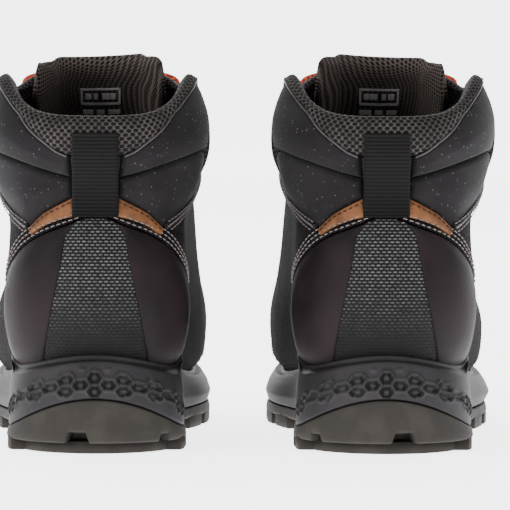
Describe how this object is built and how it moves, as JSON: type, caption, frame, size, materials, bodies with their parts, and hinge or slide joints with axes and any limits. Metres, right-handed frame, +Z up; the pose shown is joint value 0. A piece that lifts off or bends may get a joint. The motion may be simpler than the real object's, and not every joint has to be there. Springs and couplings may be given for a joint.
{
  "type": "hiking boots",
  "caption": "Pair of mid-cut lace-up hiking boots with a lugged rubber sole, padded collar, mesh-lined tongue, heel pull tabs and laces tied in bows.",
  "frame": {"origin": "on the floor, midway between the two boots and midway along them", "axes": "+Z up, +Y towards the toes, +X towards the right boot"},
  "size_m": [0.2514, 0.305, 0.1846],
  "materials": {
    "outsole_rubber": "moulded, matt",
    "midsole_foam": "moulded EVA foam, matt",
    "shank_plate": "moulded nylon",
    "board_fibre": "pressed fibre board",
    "footbed_foam": "foam with a knitted cover",
    "mesh_lining": "spacer mesh",
    "stiffener_board": "thermoformed board",
    "bumper_rubber": "moulded rubber, satin",
    "upper_leather": "waxed nubuck",
    "ballistic_textile": "coarse woven nylon",
    "heel_leather": "smooth finished leather",
    "tan_leather": "smooth tan leather",
    "collar_textile": "fine padded textile",
    "webbing": "ribbed grosgrain",
    "tongue_mesh": "spacer mesh with bound edge",
    "eyestay_textile": "coated textile",
    "hook_metal": "dark plated",
    "lace_cord": "round braided polyester",
    "aglet_plastic": "crimped sleeve"
  },
  "bodies": {
    "left_boot": {"left_outsole": "outsole_rubber", "left_midsole": "midsole_foam", "left_shank": "shank_plate", "left_insole_board": "board_fibre", "left_footbed": "footbed_foam", "left_lining": "mesh_lining", "left_heel_stiffener": "stiffener_board", "left_toe_stiffener": "stiffener_board", "left_toe_bumper": "bumper_rubber", "left_vamp": "upper_leather", "left_quarter_lateral": "upper_leather", "left_quarter_medial": "upper_leather", "left_heel_strip": "ballistic_textile", "left_heel_leather_lateral": "heel_leather", "left_heel_leather_medial": "heel_leather", "left_accent_lateral": "tan_leather", "left_accent_medial": "tan_leather", "left_collar_lower_lateral": "collar_textile", "left_collar_lower_medial": "collar_textile", "left_collar_upper_lateral": "collar_textile", "left_collar_upper_medial": "collar_textile", "left_backstay": "collar_textile", "left_pull_tab": "webbing", "left_eyestay_lateral": "eyestay_textile", "left_eyestay_medial": "eyestay_textile", "left_lace_hooks": "hook_metal", "left_lace": "lace_cord", "left_lace_bow": "lace_cord", "left_aglets": "aglet_plastic"},
    "left_tongue": {"left_tongue": "tongue_mesh"},
    "right_boot": {"right_outsole": "outsole_rubber", "right_midsole": "midsole_foam", "right_shank": "shank_plate", "right_insole_board": "board_fibre", "right_footbed": "footbed_foam", "right_lining": "mesh_lining", "right_heel_stiffener": "stiffener_board", "right_toe_stiffener": "stiffener_board", "right_toe_bumper": "bumper_rubber", "right_vamp": "upper_leather", "right_quarter_lateral": "upper_leather", "right_quarter_medial": "upper_leather", "right_heel_strip": "ballistic_textile", "right_heel_leather_lateral": "heel_leather", "right_heel_leather_medial": "heel_leather", "right_accent_lateral": "tan_leather", "right_accent_medial": "tan_leather", "right_collar_lower_lateral": "collar_textile", "right_collar_lower_medial": "collar_textile", "right_collar_upper_lateral": "collar_textile", "right_collar_upper_medial": "collar_textile", "right_backstay": "collar_textile", "right_pull_tab": "webbing", "right_eyestay_lateral": "eyestay_textile", "right_eyestay_medial": "eyestay_textile", "right_lace_hooks": "hook_metal", "right_lace": "lace_cord", "right_lace_bow": "lace_cord", "right_aglets": "aglet_plastic"},
    "right_tongue": {"right_tongue": "tongue_mesh"}
  },
  "joints": [
    {"name": "right_boot_lift", "type": "slide", "parent": "left_boot", "child": "right_boot", "axis": [0, 0, 1], "range_m": [0, 0.3]},
    {"name": "left_tongue_tilt", "type": "hinge", "parent": "left_boot", "child": "left_tongue", "pos_m": [-0.067, 0.0845, 0.087], "axis": [1, 0, 0], "range_deg": [0, 8], "stiffness_Nm_per_rad": 0.5, "springref_deg": -14.32},
    {"name": "right_tongue_tilt", "type": "hinge", "parent": "right_boot", "child": "right_tongue", "pos_m": [0.067, 0.0845, 0.087], "axis": [1, 0, 0], "range_deg": [0, 8], "stiffness_Nm_per_rad": 0.5, "springref_deg": -14.32}
  ]
}
